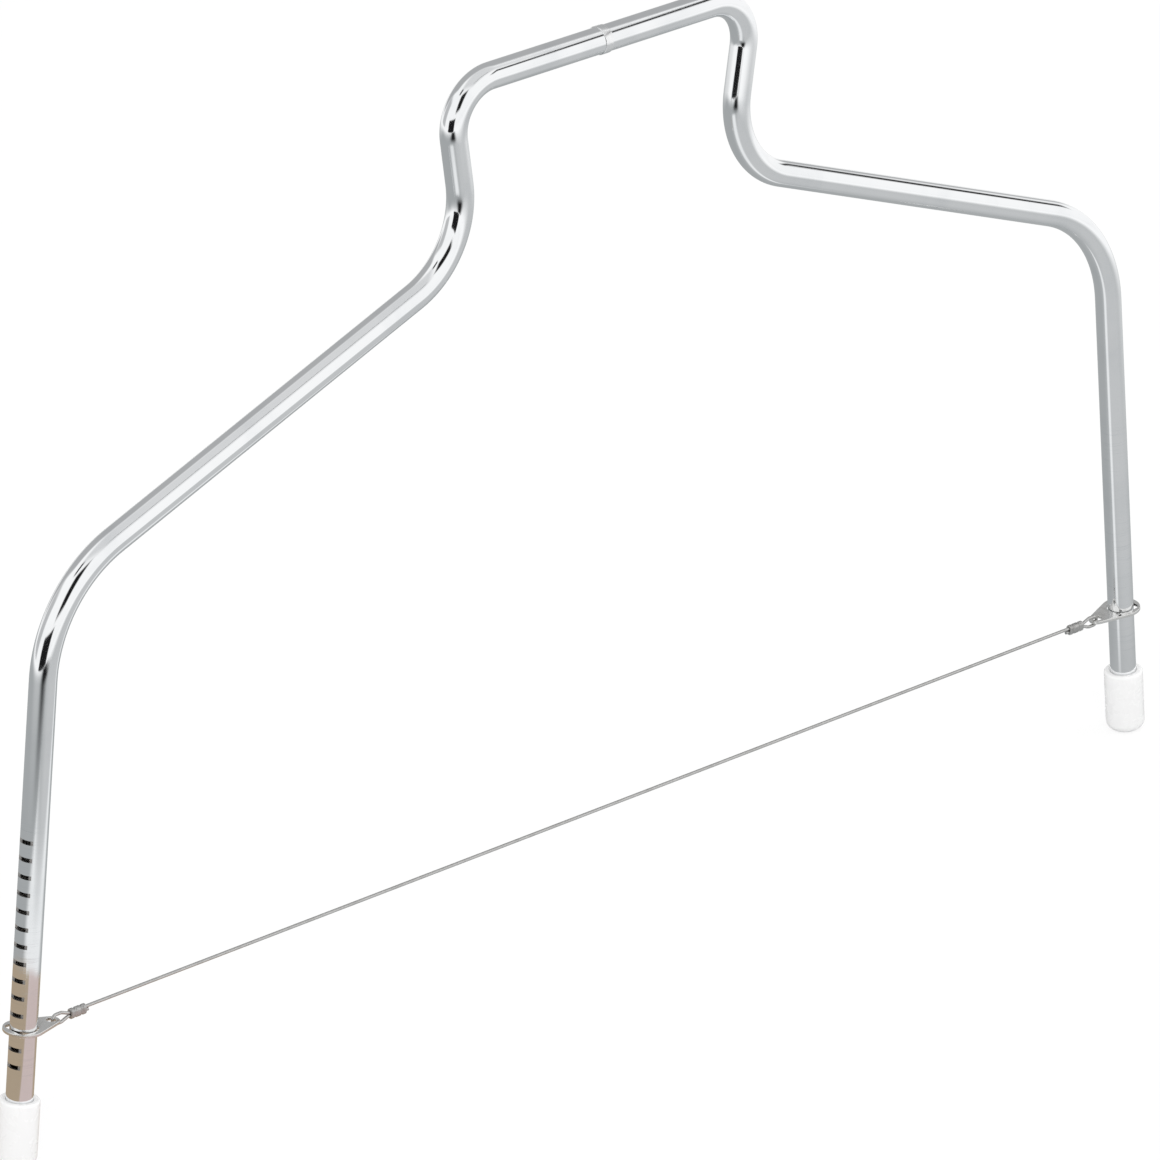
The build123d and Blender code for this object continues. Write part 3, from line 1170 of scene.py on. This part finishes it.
# %% Wire and its loops
wire_sides = 24
loop_half_height = (plate_thickness / 2) + wire_radius + 0.45 * mm
loop_bight_flat = 0.1 * mm
loop_bend = loop_half_height - loop_bight_flat / 2
loop_neck_bend = 1.5 * mm
loop_bight = plate_eye_radius - wire_radius - 0.45 * mm
loop_straight_end = plate_tip_radius + seat_travel
loop_neck_start = loop_straight_end + 2.4 * mm
sleeve_start = loop_neck_start + 0.7 * mm
sleeve_length = 5.6 * mm
loop_tail = 1.2 * mm
loop_arc_step = radians(9)


def at_wire_end(side, reach, rise=0.0):
    """Point this far from a plate's eye towards the middle, and this far above it."""
    eye = leg_point(plate_height, side) + leg_inward(side) * plate_eye_distance
    return Vector((eye.x - side * reach, 0, eye.z + rise))


def loop_route(side):
    """The wire from inside the sleeve, through the eye and back, to its cut tail."""
    tail = sleeve_start + sleeve_length + loop_tail
    corners = (
        at_wire_end(side, sleeve_start + sleeve_length / 2, strand_offset),
        at_wire_end(side, loop_neck_start, strand_offset),
        at_wire_end(side, loop_straight_end, loop_half_height),
        at_wire_end(side, loop_bight, loop_half_height),
        at_wire_end(side, loop_bight, -loop_half_height),
        at_wire_end(side, loop_straight_end, -loop_half_height),
        at_wire_end(side, loop_neck_start, -strand_offset),
        at_wire_end(side, tail, -strand_offset),
    )
    bends = (loop_neck_bend, loop_neck_bend, loop_bend, loop_bend, loop_neck_bend, loop_neck_bend)
    return rounded_route(corners, bends, loop_arc_step)


def wire_piece(name, route):
    """Round wire along a route."""
    mesh = run_tree(name, route, outer_radius=wire_radius, sides=wire_sides, material=wire_metal)
    wrap_tube(mesh, route, wire_radius, 0)
    piece = link_piece(name, mesh)
    return piece


for side, side_name in side_names.items():
    loop = wire_piece("bent_loop_" + side_name, loop_route(side))
    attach(loop, side_name + "_wire_end")
    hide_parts("wire_loop_" + side_name)
    print(loop.name, "faces", len(loop.data.polygons))

# %% [markdown]
# The cutting stretch is straight and taut. The legs lean inwards, so the wire needs a little
# less length at the highest notch. The real legs spring to take that up. Here the wire is one
# straight sweep, parented to the wire's body, and its ends stay hidden in the sleeves.

# %% Cutting wire
wire_step = 20 * mm
wire_stations = round(2 * wire_half_length / wire_step)
taut_route = [
    Vector((-wire_half_length + 2 * wire_half_length * index / wire_stations, 0, wire_height))
    for index in range(wire_stations + 1)
]
taut_wire = wire_piece("taut_wire", taut_route)
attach(taut_wire, "wire")
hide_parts("cutting_wire")
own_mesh(taut_wire)

# %% [markdown]
# Each sleeve is a short oval tube, squeezed twice with a crimping tool. The outside of its
# profile dips smoothly at both crimps and rounds off at the ends, and the inside is plain.

# %% Crimped sleeves
sleeve_wall = 0.55 * mm
sleeve_fit = 0.03 * mm
sleeve_round = 0.25 * mm
crimp_width = 0.9 * mm
crimp_depth = 0.22 * mm
crimp_place_shares = (0.28, 0.72)
sleeve_stations = 56
sleeve_inner = wire_radius + sleeve_fit
sleeve_outer = sleeve_inner + sleeve_wall


def sleeve_outside(along):
    """Radius of the sleeve's outside at a distance along it."""
    radius = sleeve_outer
    end = min(along, sleeve_length - along)
    if end < sleeve_round:
        radius -= sleeve_round - (sleeve_round**2 - (sleeve_round - end) ** 2) ** 0.5
    for share in crimp_place_shares:
        off = abs(along - share * sleeve_length) / (crimp_width / 2)
        if off < 1:
            radius -= crimp_depth * cos(off * pi / 2) ** 0.6
    return radius


def sleeve_profile():
    """Closed profile: along the outside and back through the bore."""
    outside = []
    for index in range(sleeve_stations + 1):
        ease = (1 - cos(pi * index / sleeve_stations)) / 2
        along = sleeve_length * (0.35 * ease + 0.65 * index / sleeve_stations)
        outside.append((sleeve_outside(along), along))
    return outside + [(sleeve_inner, sleeve_length), (sleeve_inner, 0)]


for side, side_name in side_names.items():
    to_middle = Vector((-side, 0, 0))
    place = placed(at_wire_end(side, sleeve_start), above.cross(to_middle), to_middle)
    sleeve = turned(
        "crimped_sleeve_" + side_name, sleeve_profile(), place, ferrule_metal,
        sides=48, spread=strand_offset, closed=True,
    )
    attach(sleeve, side_name + "_wire_end")
    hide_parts("ferrule_" + side_name)
    print(sleeve.name, "faces", len(sleeve.data.polygons))
